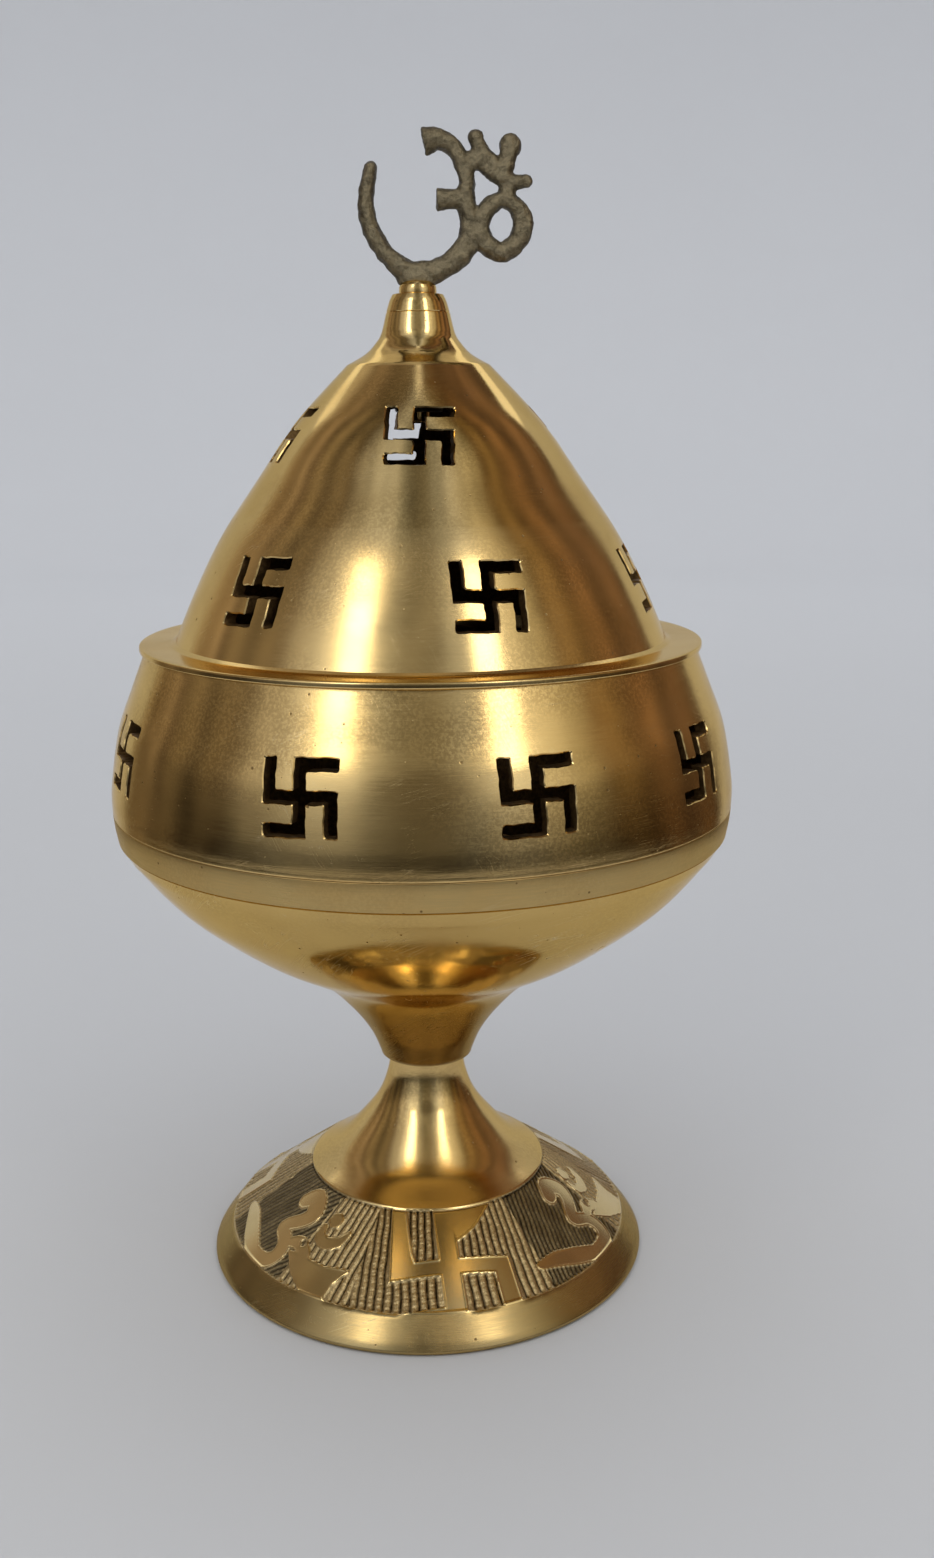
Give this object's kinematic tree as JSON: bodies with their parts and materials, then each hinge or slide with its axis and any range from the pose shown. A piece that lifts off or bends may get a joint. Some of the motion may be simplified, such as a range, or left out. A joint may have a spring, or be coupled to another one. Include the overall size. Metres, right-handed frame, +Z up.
{
  "type": "incense burner",
  "caption": "Footed round brass incense burner with a pierced gallery, a lift-off pierced lid topped by an Om finial, a loose charcoal cup and a tie-bolted hollow foot.",
  "frame": {"origin": "centre of the foot's flat resting plane", "axes": "+Z up along the turning axis, the front of the Om finial and one upper lid svastika facing -Y"},
  "size_m": [0.094, 0.094, 0.1716],
  "materials": {
    "polished_brass": "lathe-polished, fine scratches and small dark pits",
    "foot_brass": "satin rim and trumpet, chiselled band with dark patina in the grooves",
    "aged_brass": "sand-cast, dark antique patina, rubbed on the high edges",
    "cup_brass": "spun satin, soot-stained",
    "steel": "zinc-plated fastener"
  },
  "bodies": {
    "base": {"foot": "foot_brass", "bowl": "polished_brass", "gallery": "polished_brass", "tie_bolt": "steel", "foot_washer": "steel", "foot_nut": "steel"},
    "cup": {"charcoal_cup": "cup_brass"},
    "lid": {"lid": "polished_brass", "om_finial": "aged_brass", "finial_washer": "steel", "finial_nut": "steel"}
  },
  "joints": [
    {"name": "lid_lift", "type": "slide", "parent": "base", "child": "lid", "axis": [0, 0, 1], "range_m": [0, 0.1]},
    {"name": "cup_lift", "type": "slide", "parent": "base", "child": "cup", "axis": [0, 0, 1], "range_m": [0, 0.0515]}
  ]
}
